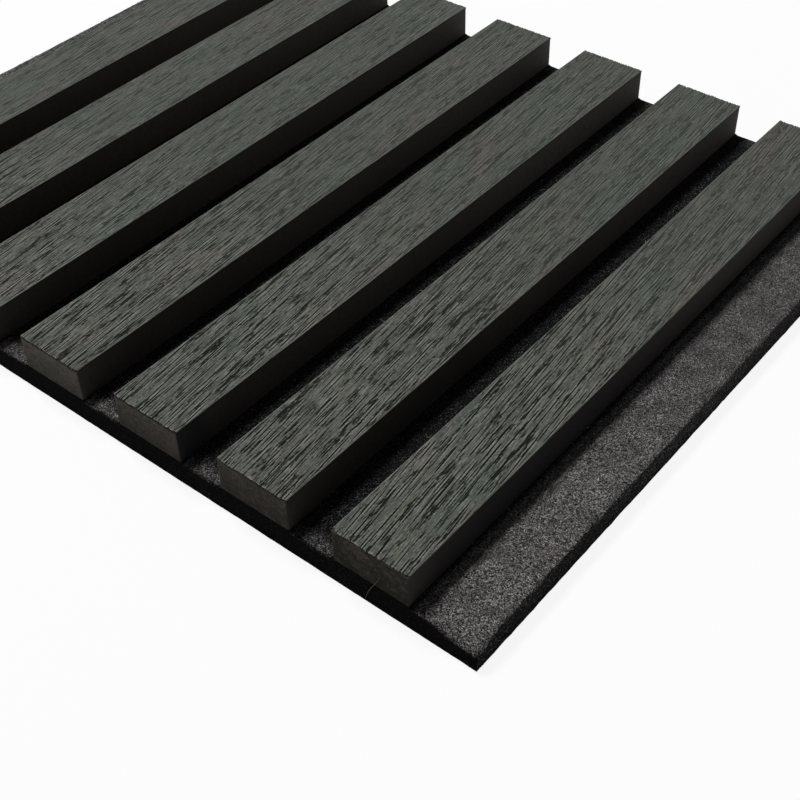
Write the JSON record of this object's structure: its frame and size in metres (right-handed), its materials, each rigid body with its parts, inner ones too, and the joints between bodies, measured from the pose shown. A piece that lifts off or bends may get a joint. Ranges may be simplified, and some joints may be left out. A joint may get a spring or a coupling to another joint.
{
  "type": "slatted acoustic wall panel",
  "caption": "Acoustic wall panel: oak-veneered black MDF slats glued and stapled side by side on a board of charcoal polyester felt, with bare felt lips at both sides.",
  "frame": {"origin": "centre of the felt's back face, which goes against the wall", "axes": "+X across the slats, +Y along the slats, +Z out of the wall, towards the slat faces"},
  "size_m": [0.322, 0.247, 0.021],
  "materials": {
    "felt": "matte",
    "mdf": "matte",
    "veneer": "matte",
    "staple": "satin"
  },
  "bodies": {
    "root": {"felt_backing": "felt", "back_staples": "staple", "slat_core_1": "mdf", "slat_core_2": "mdf", "slat_core_3": "mdf", "slat_core_4": "mdf", "slat_core_5": "mdf", "slat_core_6": "mdf", "slat_core_7": "mdf", "slat_veneer_1": "veneer", "slat_veneer_2": "veneer", "slat_veneer_3": "veneer", "slat_veneer_4": "veneer", "slat_veneer_5": "veneer", "slat_veneer_6": "veneer", "slat_veneer_7": "veneer"}
  },
  "joints": []
}
